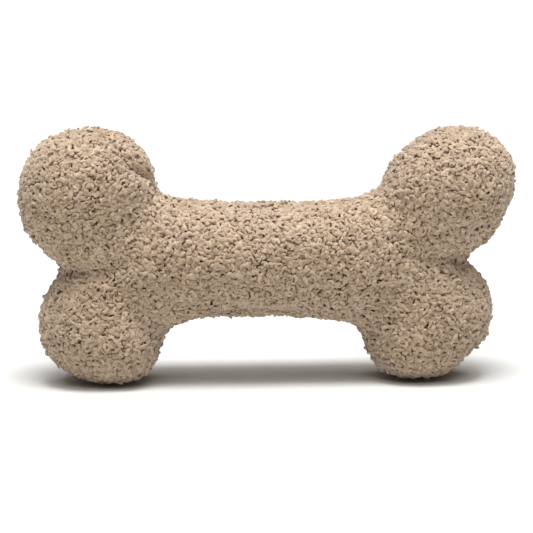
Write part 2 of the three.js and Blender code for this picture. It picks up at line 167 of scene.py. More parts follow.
def add_object(name, mesh, material):
    """A new object that holds a mesh in one material."""
    piece = bpy.data.objects.new(name, mesh)
    bpy.context.scene.collection.objects.link(piece)
    piece.data.materials.clear()
    piece.data.materials.append(material)
    return piece


def after_modifiers(piece):
    """The piece's mesh with its modifiers applied; the modifiers are taken off."""
    state = bpy.context.evaluated_depsgraph_get()
    mesh = bpy.data.meshes.new_from_object(piece.evaluated_get(state), depsgraph=state)
    piece.modifiers.clear()
    old, piece.data = piece.data, mesh
    bpy.data.meshes.remove(old)
    return mesh


def tube_rings(lines, radii, sides, reference):
    """Rings round centre lines. Lines is tubes x rings x 3, and radii is tubes x rings x sides."""
    ahead = unit(np.gradient(lines, axis=1))
    across = unit(np.cross(ahead, reference))
    upward = np.cross(across, ahead)
    turn = np.arange(sides)[:, None] * math.tau / sides
    spokes = np.cos(turn) * across[:, :, None] + np.sin(turn) * upward[:, :, None]
    return lines[:, :, None] + radii[..., None] * spokes


def tube_points(lines, radii, sides, reference):
    """Points of closed tubes with pointed ends round centre lines: tube by tube its rings, then its tips."""
    body = tube_rings(lines, radii, sides, reference)
    ends = lines[:, (0, -1)]
    onward = ends - lines[:, (1, -2)]
    reach = radii[:, (0, -1)].mean(2) / np.maximum(np.linalg.norm(onward, axis=2), TINY)
    tips = ends + onward * np.minimum(reach, 1)[..., None]
    return np.concatenate([body.reshape(len(lines), -1, 3), tips], axis=1)


def tube_mesh(name, points, rings, sides):
    """Closed tubes with pointed ends from the points that tube_points() gives."""
    ring, side = np.meshgrid(np.arange(rings - 1), np.arange(sides), indexing="ij")
    here, beside = ring * sides + side, ring * sides + (side + 1) % sides
    quads = np.stack([here, here + sides, beside + sides, beside], -1).reshape(-1, 4)
    turn = np.arange(sides)
    first, last = rings * sides, rings * sides + 1
    low = np.stack([turn, (turn + 1) % sides, np.full(sides, first)], -1)
    high = np.stack([(turn + 1) % sides, turn, np.full(sides, last)], -1)
    high[:, :2] += (rings - 1) * sides
    starts = np.arange(len(points))[:, None, None] * (last + 1)
    return make_mesh(
        name,
        points.reshape(-1, 3),
        (starts + quads).reshape(-1, 4),
        (starts + np.concatenate([low, high])).reshape(-1, 3),
    )


def inward(loop):
    """For each point of a closed loop round the toy, the way to its inside, square to the loop."""
    ahead = np.roll(loop, -1, 0) - np.roll(loop, 1, 0)
    after = np.roll(loop, -1, 0)
    area = (loop[:, 0] * after[:, 2] - after[:, 0] * loop[:, 2]).sum()
    return unit(np.stack([-ahead[:, 2], 0 * ahead[:, 1], ahead[:, 0]], 1) * np.sign(area))


def evenly(line, step):
    """A line's points laid out again at an even step."""
    along = np.concatenate([[0], np.cumsum(np.linalg.norm(np.diff(line, axis=0), axis=1))])
    places = np.linspace(0, along[-1], max(round(along[-1] / step), 2) + 1)
    return np.stack([np.interp(places, along, line[:, axis]) for axis in range(3)], 1)


def turned(name, profile, centre, steps, closed=False):
    """A mesh turned about a line along Y through a centre, from a profile of radius and depth."""
    form = bmesh.new()
    points = [form.verts.new((centre.x + radius, depth, centre.z)) for radius, depth in profile]
    ends = zip(points, points[1:] + points[:1]) if closed else zip(points, points[1:])
    edges = [form.edges.new(pair) for pair in ends]
    bmesh.ops.spin(
        form, geom=points + edges, cent=centre, axis=(0, 1, 0), angle=math.tau, steps=steps, use_merge=True
    )
    bmesh.ops.remove_doubles(form, verts=form.verts, dist=TOUCHING)
    bmesh.ops.recalc_face_normals(form, faces=form.faces)
    mesh = bpy.data.meshes.new(name)
    form.to_mesh(mesh)
    form.free()
    mesh.shade_smooth()
    return mesh


def socket(sockets, key):
    """The socket of that identifier or name."""
    return next(one for one in sockets if key in (one.identifier, one.name))


def add_node(material, kind, values=None, links=None, **settings):
    """Adds a node with its settings, the values of its sockets and the outputs linked to them."""
    node = material.node_tree.nodes.new(kind)
    for name, value in settings.items():
        setattr(node, name, value)
    for key, value in (values or {}).items():
        socket(node.inputs, key).default_value = value
    for key, (source, output) in (links or {}).items():
        material.node_tree.links.new(socket(source.outputs, output), socket(node.inputs, key))
    return node


def new_material(name):
    """A material that has no nodes yet."""
    material = bpy.data.materials.new(name)
    material.use_nodes = True
    material.node_tree.nodes.clear()
    return material


def finish_material(material, values, links=None):
    """The material, with its shader and its output node added."""
    shader = add_node(material, "ShaderNodeBsdfPrincipled", values, links)
    add_node(material, "ShaderNodeOutputMaterial", links={"Surface": (shader, "BSDF")})
    return material


# Materials


def patterned(name, dark, light, textures, relief, finish, output="Fac"):
    """A material whose colour runs from dark to light with its first texture, its relief with its last.

    Each texture is a node's kind, values and settings, and output is the output that is used. Relief is
    how strong and how deep the bump is, and finish holds the values of the shader's own sockets.
    """
    material = new_material(name)
    place = add_node(material, "ShaderNodeTexCoord")
    added = [
        add_node(material, kind, values, {"Vector": (place, "Object")}, **settings)
        for kind, values, settings in textures
    ]
    coloured = add_node(
        material,
        "ShaderNodeMix",
        {"A_Color": (*dark, 1), "B_Color": (*light, 1)},
        {"Factor": (added[0], output)},
        data_type="RGBA",
    )
    strength, depth = relief
    bump = add_node(
        material, "ShaderNodeBump", {"Strength": strength, "Distance": depth}, {"Height": (added[-1], output)}
    )
    links = {"Base Color": (coloured, "Result_Color"), "Normal": (bump, "Normal")}
    return finish_material(material, finish, links)


def sherpa_pile(colours):
    """Polyester sherpa fleece, its pile tumbled into curls: dull, soft at the edges, with painted shade in
    the gaps.
    """
    material = new_material("polyester_sherpa_pile")
    tint = add_node(material, "ShaderNodeAttribute", attribute_name="tint")
    freely = add_node(material, "ShaderNodeAttribute", attribute_name="open")
    lock = add_node(material, "ShaderNodeAttribute", attribute_name="lock")
    place = add_node(material, "ShaderNodeTexCoord")
    # Fibres lie along a curl in strands about 1 mm apart, five times as long as they are wide
    straight = add_node(
        material,
        "ShaderNodeMapping",
        {"Scale": (1 / 5, 1, 1)},
        {"Vector": (lock, "Vector")},
        vector_type="POINT",
    )
    strands = add_node(
        material,
        "ShaderNodeTexNoise",
        {"Scale": 1 / (1 * MM), "Detail": 3, "Roughness": 0.65},
        {"Vector": (straight, "Vector")},
    )
    # Dye and wear differ slowly over the toy, in patches about 12 mm apart
    patches = add_node(
        material, "ShaderNodeTexNoise", {"Scale": 1 / (12 * MM), "Detail": 2}, {"Vector": (place, "Object")}
    )
    # Most of what that pattern gives lies between these two values
    hue_share = add_node(
        material,
        "ShaderNodeMapRange",
        {"From Min": 0.35, "From Max": 0.65},
        {"Value": (patches, "Fac")},
        interpolation_type="SMOOTHSTEP",
    )
    # How much its strands and its own tint make a curl paler, and how much the patches' hues show
    by_strands, by_tint, by_hue = 0.7, 0.5, 0.2
    shade = add_node(
        material,
        "ShaderNodeMath",
        {"Value_001": by_strands},
        {"Value": (strands, "Fac")},
        operation="MULTIPLY",
    )
    paleness = add_node(
        material,
        "ShaderNodeMath",
        {"Value_001": by_tint},
        {"Value": (tint, "Fac"), "Value_002": (shade, "Value")},
        operation="MULTIPLY_ADD",
    )
    curls = add_node(
        material,
        "ShaderNodeMix",
        {"A_Color": (*colours.curl_dark, 1), "B_Color": (*colours.curl_light, 1)},
        {"Factor": (paleness, "Value")},
        data_type="RGBA",
    )
    hue = add_node(
        material,
        "ShaderNodeMix",
        {"A_Color": (*colours.rosy, 1), "B_Color": (*colours.sandy, 1)},
        {"Factor": (hue_share, "Result")},
        data_type="RGBA",
    )
    worn = add_node(
        material,
        "ShaderNodeMix",
        {"Factor": by_hue},
        {"A_Color": (curls, "Result_Color"), "B_Color": (hue, "Result_Color")},
        data_type="RGBA",
    )
    # Painted shade: the fleece takes the shade colour where other curls cover it, and has its own colour on
    # top
    open_share = add_node(
        material,
        "ShaderNodeMapRange",
        {"From Min": 0.12, "From Max": 0.88},
        {"Value": (freely, "Fac")},
        interpolation_type="SMOOTHSTEP",
    )
    coloured = add_node(
        material,
        "ShaderNodeMix",
        {"A_Color": (*colours.root, 1)},
        {"Factor": (open_share, "Result"), "B_Color": (worn, "Result_Color")},
        data_type="RGBA",
    )
    bump = add_node(
        material, "ShaderNodeBump", {"Strength": 1, "Distance": 0.5 * MM}, {"Height": (strands, "Fac")}
    )
    finish = {
        "Roughness": 0.65,
        "IOR": 1.55,
        "Specular IOR Level": 0.45,
        "Sheen Weight": 0.6,
        "Sheen Roughness": 0.45,
        "Sheen Tint": (*linear("#F4F5F8"), 1),
    }
    links = {"Base Color": (coloured, "Result_Color"), "Normal": (bump, "Normal")}
    return finish_material(material, finish, links)


def knitted_backing(colours):
    """Warp-knitted polyester backing: rows of small loops, coloured darker as painted shade below the pile.
    """
    # Knit rows lie 1.2 mm apart; the texture's wave turns through 20 radians per unit
    loops = {"Scale": math.tau / (20 * 1.2 * MM), "Distortion": 1.5, "Detail": 2}
    return patterned(
        "knitted_polyester_backing",
        colours.root,
        colours.backing,
        [("ShaderNodeTexWave", loops, {"bands_direction": "Z"})],
        (0.6, 0.3 * MM),
        {"Roughness": 0.95, "IOR": 1.55, "Specular IOR Level": 0.2, "Sheen Weight": 0.2},
    )


def spun_thread(colours):
    """Spun polyester sewing thread, three plies twisted: slightly glossy, with a fine hairy surface."""
    # Fibres in a ply are drawn 0.3 mm apart, coarser than the real ones so that they show
    fibres = {"Scale": 1 / (0.3 * MM), "Detail": 2}
    return patterned(
        "spun_polyester_thread",
        colours.root,
        colours.thread,
        [("ShaderNodeTexNoise", fibres, {})],
        (0.4, 0.1 * MM),
        {"Roughness": 0.6, "IOR": 1.55, "Sheen Weight": 0.3},
    )


def hollow_fibrefill():
    """Siliconised hollow polyester fibrefill: white, cloudy, soft in its shade, with crimped strands."""
    # Crimped strands are drawn 2 mm apart, coarser than the real fibre of 0.03 mm so that they show
    strands = {"Scale": 1 / (2 * MM), "Detail": 5, "Roughness": 0.7, "Distortion": 1.5}
    return patterned(
        "hollow_polyester_fibrefill",
        linear("#CFCBC2"),
        linear("#F4F2EC"),
        [("ShaderNodeTexNoise", strands, {})],
        (0.9, 1 * MM),
        {"Roughness": 0.85, "IOR": 1.55, "Sheen Weight": 0.5, "Sheen Roughness": 0.4},
    )


def spunbond_nonwoven():
    """Spunbond polypropylene nonwoven: white, papery, with the dimples where its fibres are welded."""
    # Weld dimples lie 1.5 mm apart, twice as far as the real ones so that they show
    dimples = {"Scale": 1 / (1.5 * MM), "Randomness": 0.15}
    return patterned(
        "spunbond_polypropylene_nonwoven",
        linear("#DCDBD6"),
        linear("#F4F3F0"),
        [("ShaderNodeTexVoronoi", dimples, {})],
        (0.5, 0.2 * MM),
        {"Roughness": 0.8, "IOR": 1.49},
        "Distance",
    )


def moulded_plastic(name, dark, light, roughness, ior, clouds):
    """A moulded or cast plastic: an even colour with faint flow clouds, and a finely textured skin."""
    flow = {"Scale": 1 / clouds, "Detail": 3}
    # The mould's spark-eroded grain is drawn 0.3 mm apart, coarser than the real one so that it shows
    grain = {"Scale": 1 / (0.3 * MM), "Detail": 1}
    return patterned(
        name,
        linear(dark),
        linear(light),
        [("ShaderNodeTexNoise", flow, {}), ("ShaderNodeTexNoise", grain, {})],
        (0.15, 0.05 * MM),
        {"Roughness": roughness, "IOR": ior},
    )


def soft_polyethylene():
    """Low density polyethylene, injection moulded: milky, waxy, gives under a thumb."""
    return moulded_plastic("moulded_soft_polyethylene", "#DEDBD0", "#ECEAE2", 0.42, 1.51, 9 * MM)


def stiff_polypropylene():
    """Polypropylene, injection moulded: pale blue grey and a little glossier than the shells."""
    return moulded_plastic("moulded_polypropylene", "#CBD3D8", "#DDE3E6", 0.35, 1.49, 6 * MM)


def polyester_film():
    """Polyester film, die cut: smooth and shiny."""
    return moulded_plastic("die_cut_polyester_film", "#C8CECC", "#D6DBD9", 0.22, 1.64, 3 * MM)


def floor_paint():
    """Matt emulsion paint, rolled on a smooth floor: pale, and next to no gloss."""
    return finish_material(
        new_material("pale_floor_paint"), {"Base Color": (*linear("#D8D8D6"), 1), "Roughness": 0.9}
    )


# Sizes and colours that a user would change


def length_property(name, description, default):
    """A length, in metres."""
    return FloatProperty(name=name, description=description, default=default, unit="LENGTH")


def angle_property(name, description, degrees):
    """An angle, given in degrees and kept in radians."""
    return FloatProperty(name=name, description=description, default=math.radians(degrees), subtype="ANGLE")


def share_property(name, description, default):
    """A share, from none to all."""
    return FloatProperty(name=name, description=description, default=default, min=0, max=1, subtype="FACTOR")


def colour_property(name, description, code):
    """A colour, given as an sRGB hex value and kept as linear red, green and blue."""
    return FloatVectorProperty(name=name, description=description, default=linear(code), subtype="COLOR")


class PlushCover(bpy.types.PropertyGroup):
    """Sizes of the two fleece covers"""

    voxel: length_property("Cloth grid", "Size of the cloth's quads while it is simulated", 4 * MM)
    pile_depth: length_property(
        "Pile depth", "How deep the knitted backing lies under the toy's outer surface", 3.2 * MM
    )
    backing: length_property("Backing", "Thickness of the knitted backing", 0.8 * MM)
    pressure: FloatProperty(
        name="Stuffing pressure", description="How hard the stuffing presses in the simulation", default=4.0
    )
    swell: length_property("Most swell", "The farthest that the stuffing may move the cover", 1.5 * MM)
    lumps: length_property("Lumps", "How far uneven stuffing pushes the cover out", 0.9 * MM)
    lump_size: length_property("Lump size", "Breadth of one lump of stuffing", 32 * MM)
    seam_depth: length_property("Seam depth", "How deep the seam is drawn in", 3 * MM)
    seam_reach: length_property("Seam reach", "How far from the seam the cover is drawn in", 4 * MM)
    crease_depth: length_property(
        "Crease depth", "Depth of the crease that runs in from each end between two lobes", 8 * MM
    )
    crease_rise: angle_property("Crease rise", "How steeply that crease climbs on its way in", 8)
    crease_length: length_property("Crease length", "Length of that crease", 50 * MM)
    crease_width: length_property("Crease width", "Half width of that crease", 5.5 * MM)
    seam_gap: length_property("Seam gap", "Half the gap between the two rims", 0.15 * MM)
    allowance: length_property("Seam allowance", "Cloth turned inside along the seam", 6 * MM)
    allowance_flare: length_property(
        "Allowance flare", "How far the pile between the two allowances spreads their edges", 1.6 * MM
    )


class PlushPile(bpy.types.PropertyGroup):
    """Sizes of the curls of the sherpa pile"""

    seed: IntProperty(name="Seed", description="Seed of the random draws", default=7)
    layers: IntProperty(name="Layers", description="Layers of curls over each other", default=4)
    spacing: length_property("Spacing", "Least distance between two curls of one layer", 2.6 * MM)
    under_drop: length_property("Lower layer", "How much deeper the lowest layer lies", 1.5 * MM)
    under_swell: FloatProperty(
        name="Lower swell", description="How many times thicker the lowest layer's curls are", default=2.0
    )
    shortest: length_property("Shortest curl", "Length of the shortest curls", 3.6 * MM)
    longest: length_property("Longest curl", "Length of the longest curls", 7.2 * MM)
    thinnest: length_property("Thinnest curl", "Radius of the thinnest curls", 0.55 * MM)
    thickest: length_property("Thickest curl", "Radius of the thickest curls", 1.05 * MM)
    lowest: length_property("Lowest top", "Height of the lowest curls over the backing", 1.8 * MM)
    highest: length_property("Highest top", "Height of the highest curls over the backing", 2.7 * MM)
    clump: length_property("Clumps", "How much higher or lower whole clumps of curls lie", 0.8 * MM)
    clump_size: length_property("Clump size", "Breadth of a clump of curls", 7 * MM)
    least_turn: angle_property("Least turn", "Angle that a slack curl runs through", 130)
    most_turn: angle_property("Most turn", "Angle that a tight curl runs through", 400)
    most_tilt: angle_property("Most tilt", "How steeply a curl may lean", 50)
    sway: length_property("Sway", "How far a curl leaves its even bend", 0.25 * MM)
    shingle: length_property("Shingle", "How much higher one end of a curl lies", 2.3 * MM)
    flatness: FloatProperty(
        name="Flatness", description="How many times wider a curl is than round", default=1.08
    )
    unevenness: share_property("Unevenness", "How unevenly thick a curl is, as a share of its radius", 0.16)
    bare: length_property("Bare seam", "Breadth without curls on each side of the seam", 0.5 * MM)
    trapped_share: share_property("Trapped pile", "Share of its height that the pile loses at the seam", 0.4)
    trapped_reach: length_property("Trapped reach", "How far from the seam the pile is held down", 2 * MM)
    # Painted shade: the pile along the seam is drawn darker by this share
    seam_shade: share_property("Seam shade", "Share by which pile in the seam lies less open", 0.75)
    overlap: length_property("Overlap", "How far a curl may reach over the seam", 1.2 * MM)
    # Cells in which the painted shade between the curls is worked out
    crowding: length_property(
        "Crowding", "Size of the cells in which points of pile are counted, to see what covers what", 0.8 * MM
    )
    fluff: share_property("Fluff", "Share by which a curl takes light as the cloth below it does", 0.4)
    rings: IntProperty(name="Rings", description="Rings along a curl", default=7)
    corners: IntProperty(name="Corners", description="Corners round a curl", default=5)


class PlushThread(bpy.types.PropertyGroup):
    """Sizes of the sewing threads and their stitches"""

    radius: length_property("Radius", "Radius of the thread", 0.4 * MM)
    twist: length_property("Twist", "Length in which the three plies turn once", 3 * MM)
    stitch: length_property("Stitch", "Length of a machine stitch", 3.2 * MM)
    inset: length_property("Inset", "How far inside the rim the seam is sewn", 3.5 * MM)
    dip: length_property("Dip", "How deep a stitch's ends are drawn into the cloth", 0.8 * MM)
    rung: length_property("Closing stitch", "Length of a closing stitch along the seam", 5 * MM)
    rung_reach: length_property("Closing reach", "How far from the seam a closing stitch bites", 1.2 * MM)


class PlushStuffing(bpy.types.PropertyGroup):
    """Sizes of the wads of fibrefill"""

    voxel: length_property("Grid", "Size of the quads of a wad", 2.6 * MM)
    slack: length_property("Slack", "Room between a wad and what lies round it", 2 * MM)
    tuft: length_property("Tuft", "Depth of the hollows between tufts of fibre", 1.6 * MM)
    tuft_size: length_property("Tuft size", "Breadth of a tuft", 9 * MM)


class PlushSqueaker(bpy.types.PropertyGroup):
    """Sizes of the squeaker's pouch and folded wall"""

    cloth: length_property("Pouch cloth", "Thickness of the nonwoven", 0.4 * MM)
    gathers: IntProperty(name="Gathers", description="Folds of the pouch at its hem", default=22)
    gather_depth: length_property("Gather depth", "Depth of these folds", 0.25 * MM)
    folds: IntProperty(name="Folds", description="Folds of the squeaker's wall", default=3)
    fold_depth: length_property("Fold depth", "How deep the wall folds in", 1.6 * MM)
    wall: length_property("Wall", "Thickness of the folded wall", 0.55 * MM)
    left_share: share_property("Pressed share", "Share of the wall's height left when it is pressed", 0.345)


class PlushColours(bpy.types.PropertyGroup):
    """Colours of the toy"""

    curl_light: colour_property("Light curls", "Palest curls of the pile", "#D6BFA5")
    curl_dark: colour_property("Dark curls", "Darkest curls of the pile", "#785C3F")
    rosy: colour_property("Rosy patches", "Greyish pink patches of the pile", "#AD9480")
    sandy: colour_property("Sandy patches", "Yellowish patches of the pile", "#AA9069")
    # Painted shade between the curls and along the seam; also the darker end of the backing's and thread's
    # patterns
    root: colour_property("Pile roots", "Shade between the curls", "#6C4A2B")
    # The backing is coloured darker than the curls as painted shade under the pile
    backing: colour_property("Backing", "Knitted backing under the pile", "#9A8068")
    thread: colour_property("Thread", "Sewing thread", "#A68C72")


class PlushBone(bpy.types.PropertyGroup):
    """All sizes and colours of the toy"""

    cover: PointerProperty(type=PlushCover)
    pile: PointerProperty(type=PlushPile)
    thread: PointerProperty(type=PlushThread)
    stuffing: PointerProperty(type=PlushStuffing)
    squeaker: PointerProperty(type=PlushSqueaker)
    colours: PointerProperty(type=PlushColours)


# Cover

# What a point's rim number says when it isn't on the rim: plain cloth, or the allowance's inner edge
PLAIN, TURNED_IN = 0, -1


def outer_skin():
    """The outer faces of both panels, joined at their rims, as one closed mesh."""
    skin = bmesh.new()
    for name in ("front_panel", "back_panel"):
        skin.from_mesh(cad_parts[name].data)
    bmesh.ops.remove_doubles(skin, verts=skin.verts, dist=TOUCHING)
    at_seam = 0.5 * MM
    outside = set()
    for side in SIDES.values():
        waiting = [max(skin.faces, key=lambda face: side * face.calc_center_median().y)]
        while waiting:
            face = waiting.pop()
            turned_in = all(abs(corner.co.y) < at_seam for corner in face.verts)
            if face not in outside and not turned_in:
                outside.add(face)
                waiting.extend(other for edge in face.edges for other in edge.link_faces)
    inside = [face for face in skin.faces if face not in outside]
    bmesh.ops.delete(skin, geom=inside, context="FACES")
    bmesh.ops.remove_doubles(skin, verts=skin.verts, dist=at_seam)
    mesh = bpy.data.meshes.new("outer_skin")
    skin.to_mesh(mesh)
    skin.free()
    return mesh


def simulate_stuffing(form, cover):
    """Blows the closed form up as cloth, held at its seam, and keeps each point's capped movement."""
    frames = 20
    mesh = form.data
    start = coordinates(mesh)
    held = form.vertex_groups.new(name="seam")
    for point in mesh.vertices:
        held.add([point.index], 1 - min(abs(point.co.y) / (2 * cover.seam_reach), 1), "REPLACE")
    cloth = form.modifiers.new("stuffing", "CLOTH")
    cloth.settings.use_pressure = True
    cloth.settings.uniform_pressure_force = cover.pressure
    cloth.settings.effector_weights.gravity = 0
    cloth.settings.vertex_group_mass = held.name
    cloth.collision_settings.use_collision = False
    cloth.point_cache.frame_end = frames
    for number in range(1, frames + 1):
        bpy.context.scene.frame_set(number)
    mesh = after_modifiers(form)
    bpy.context.scene.frame_set(1)
    moved = coordinates(mesh) - start
    length = np.linalg.norm(moved, axis=1, keepdims=True)
    move_points(mesh, start + moved * np.minimum(1, cover.swell / np.maximum(length, TINY)))
    form.vertex_groups.clear()


def place_in(name, shares):
    """The x and z of a place given as shares of a wad's box."""
    low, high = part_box(name)
    return low.x + (high.x - low.x) * shares[0], low.z + (high.z - low.z) * shares[1]


def nearness(points, place, reach):
    """One at a place of the toy's outline, and less the farther a point lies from it."""
    return np.exp(-(((points[:, 0] - place[0]) / reach) ** 2 + ((points[:, 2] - place[1]) / reach) ** 2))


def seam_pull(points, of_groove=False):
    """How far forward the seam lies at each point's place, or how much deeper its groove is."""
    total = np.zeros(len(points))
    for name, shares, pull, reach, groove in SEAM_PULLS:
        total += (groove if of_groove else pull) * nearness(points, place_in(name, shares), reach)
    return total


def bulge(points):
    """How far out the stuffing presses the cover at each point."""
    return sum(
        height * nearness(points, place_in(name, shares), reach) for name, shares, height, reach in BULGES
    )


def end_notches(mesh, cover):
    """The innermost point of the outline between the two lobes, at each end of the bone."""
    # How far above and below the shaft's middle the notches are looked for
    window = 20 * MM
    points = coordinates(mesh)
    low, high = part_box("shaft_filling")
    near_seam = np.abs(points[:, 1]) < cover.voxel
    level = np.abs(points[:, 2] - (low.z + high.z) / 2) < window
    ends = []
    for end in (-1, 1):
        around = points[near_seam & level & (end * points[:, 0] > high.x)]
        ends.append(around[np.argmin(end * around[:, 0])])
    return ends


def drawn_in(points, notches, cover):
    """How far the seam and the creases that run in from both ends draw the cover in at each point."""
    # A crease starts this far outside its notch, and loses this share of its depth at the seam
    before_notch, lost_share = 10 * MM, 0.95
    off_seam = points[:, 1] + seam_pull(points)
    extra = seam_pull(points, of_groove=True)
    drawn = (cover.seam_depth + extra) * np.exp(-((off_seam / (cover.seam_reach + extra / 2)) ** 2))
    for end, notch in zip((-1, 1), notches):
        along_way = np.array([-end * math.cos(cover.crease_rise), math.sin(cover.crease_rise)])
        offset = points[:, (0, 2)] - notch[[0, 2]]
        along = offset @ along_way
        across = offset @ (along_way[1], -along_way[0])
        fade = np.clip(1 - along / cover.crease_length, 0, 1) * (along > -before_notch)
        fade *= 1 - lost_share * np.exp(-((off_seam / (2 * cover.seam_reach)) ** 2))
        drawn += cover.crease_depth * fade * np.exp(-((across / cover.crease_width) ** 2))
    return drawn


def shape_form(form, cover):
    """Turns the outer skin into the stuffed form that the two covers are cut from.

    The form is sheared so that its seam lies in the plane y = 0, as unsheared() undoes.
    """
    remesh = form.modifiers.new("grid", "REMESH")
    remesh.mode = "VOXEL"
    remesh.voxel_size = cover.voxel
    smooth = form.modifiers.new("smooth", "SMOOTH")
    smooth.iterations = 6
    mesh = after_modifiers(form)
    points, normals = coordinates(mesh), coordinates(mesh, "normals")
    lumps = cover.lumps * np.array([noise.noise(Vector(point) / cover.lump_size) for point in points])
    move_points(mesh, points + normals * (lumps + bulge(points) - cover.pile_depth)[:, None])
    simulate_stuffing(form, cover)
    form.modifiers.new("finer", "SUBSURF").levels = 1
    mesh = after_modifiers(form)
    points, normals = coordinates(mesh), coordinates(mesh, "normals")
    points -= normals * drawn_in(points, end_notches(mesh, cover), cover)[:, None]
    points[:, 1] += seam_pull(points)
    move_points(mesh, points)
    return mesh


def half_form(mesh, side):
    """The part of the form on one side of the seam, as an open sheet, with its allowance turned in."""
    sheet = bmesh.new()
    sheet.from_mesh(mesh)
    everything = [*sheet.verts, *sheet.edges, *sheet.faces]
    bmesh.ops.bisect_plane(
        sheet, geom=everything, dist=0.05 * MM, plane_co=(0, 0, 0), plane_no=(0, -side, 0), clear_outer=True
    )
    sheet.normal_update()
    return sheet


def in_order(edges):
    """The points of a closed loop of edges, in order from the one farthest right, and upwards first."""
    left = set(edges)
    first = max((point for edge in edges for point in edge.verts), key=lambda point: point.co.x)
    loop, point = [], first
    while point is not first or not loop:
        loop.append(point)
        ways = {edge.other_vert(point): edge for edge in point.link_edges if edge in left}
        point = max(ways, key=lambda other: other.co.z)
        left.remove(ways[point])
    return loop


def unsheared(points):
    """Points moved from beside the plane y = 0 to beside the seam where it really runs."""
    moved = points.copy()
    moved[:, 1] -= seam_pull(points)
    return moved


def cover_mesh(name, mesh, side, cover):
    """One cover: its half of the form, with its rim numbered and its seam allowance turned inside."""
    sheet = half_form(mesh, side)
    rim = [edge for edge in sheet.edges if edge.is_boundary]
    place = sheet.verts.layers.int.new("rim")
    loop = in_order(rim)
    for number, point in enumerate(loop, 1):
        point.co.y = side * cover.seam_gap
        point[place] = number
    ways = inward(np.array([point.co for point in loop]))
    strip = bmesh.ops.extrude_edge_only(sheet, edges=rim)["geom"]
    for point in (item for item in strip if isinstance(item, bmesh.types.BMVert)):
        point.co += Vector(ways[point[place] - 1]) * cover.allowance
        point.co.y += side * cover.allowance_flare
        point[place] = TURNED_IN
    made = bpy.data.meshes.new(name)
    sheet.to_mesh(made)
    sheet.free()
    move_points(made, unsheared(coordinates(made)))
    made.shade_smooth()
    return made


def soften(piece):
    """Bakes a piece's placing into its mesh."""
    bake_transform(piece)


class MakeCovers(bpy.types.Operator):
    """Make the front and back covers: knitted backing stretched over the stuffing, seam drawn in"""

    bl_idname = "plush_bone.make_covers"
    bl_label = "Covers"

    def execute(self, context):
        sizes = context.scene.plush_bone
        material = knitted_backing(sizes.colours)
        form = add_object("stuffed_form", outer_skin(), material)
        mesh = shape_form(form, sizes.cover)
        for name, side in SIDES.items():
            half = cover_mesh(f"{name}_cover", mesh, side, sizes.cover)
            piece = add_object(f"{name}_cover", half, material)
            wall = piece.modifiers.new("backing", "SOLIDIFY")
            wall.thickness = sizes.cover.backing
            wall.offset = -1
            soften(piece)
            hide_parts(f"{name}_panel")
        bpy.data.objects.remove(form)
        return {"FINISHED"}


# Pile

# Places that are tried for each spacing squared of cloth
TRIES = 5
# Over what length the pile bends away from the floor, and from beyond the seam
FLOOR_EASE, SEAM_EASE = 0.8 * MM, 0.6 * MM
# How curls' turns and lengths spread between their limits, as a beta distribution's two powers
TURN_SPREAD, LENGTH_SPREAD = (1.2, 1.9), (2, 2.2)
# The least and most waves of a curl's bend and of its thickness from end to end, in radians
BEND_WAVES, THICKNESS_WAVES = (3, 6), (3, 9)
# The share of its radius that a curl has at its ends, and how soon it has all of it: at once if 0
TIP_SHARE, TIP_POWER = 0.5, 0.6
# Spread of the curls' heights, as a share of how much higher one end of a curl lies
HEIGHT_SPREAD_SHARE = 0.1
# The middle and the spread of the curls' tints, from 0 for the darkest to 1 for the palest
TINT, TINT_SPREAD = 0.5, 0.3


def rim_numbers(mesh):
    """The rim number of each point of a cover."""
    numbers = np.empty(len(mesh.vertices), np.int32)
    mesh.attributes["rim"].data.foreach_get("value", numbers)
    return numbers


def spread_places(mesh, spacing, draw):
    """Places at least a spacing apart on a cover's outer faces, with their normals."""
    mesh.calc_loop_triangles()
    corners = np.empty(len(mesh.loop_triangles) * 3, np.int32)
    mesh.loop_triangles.foreach_get("vertices", corners)
    corners = corners.reshape(-1, 3)
    corners = corners[rim_numbers(mesh)[corners].min(1) > TURNED_IN]
    points = coordinates(mesh)
    one, two, three = points[corners].transpose(1, 0, 2)
    facing = np.cross(two - one, three - one)
    areas = np.linalg.norm(facing, axis=1) / 2
    normals = np.zeros_like(points)
    np.add.at(normals, corners.ravel(), np.repeat(facing, 3, axis=0))
    normals = unit(normals)
    tries = int(areas.sum() / spacing**2 * TRIES)
    chosen = draw.choice(len(corners), tries, p=areas / areas.sum())
    weights = draw.dirichlet((1, 1, 1), tries)[..., None]
    places = (points[corners[chosen]] * weights).sum(1)
    outward = unit((normals[corners[chosen]] * weights).sum(1))
    tree = KDTree(tries)
    for number, place in enumerate(places):
        tree.insert(place, number)
    tree.balance()
    free = np.ones(tries, bool)
    for number in range(tries):
        if free[number]:
            for _, other, _ in tree.find_range(places[number], spacing):
                free[other] = other <= number and free[other]
    return places[free], outward[free]


def above(values, least, ease):
    """Values pushed smoothly over a least value."""
    rest = values - least
    return least + (rest + np.sqrt(rest**2 + ease**2)) / 2


def from_seam(points, side):
    """How far points lie from the seam, on their own side of it."""
    flat = points.reshape(-1, 3)
    return (side * (flat[:, 1] + seam_pull(flat))).reshape(points.shape[:-1])


def part_at_seam(points, side, pile):
    """Lets the curls of one cover reach only a little over the seam, so its groove stays open."""
    far = from_seam(points, side)
    points[..., 1] += side * (above(far, -pile.overlap, SEAM_EASE) - far)


def caught(points, side, pile):
    """How much the seam has caught the pile at points: one at the seam, next to zero away from it."""
    return np.exp(-((from_seam(points, side) / pile.trapped_reach) ** 2))


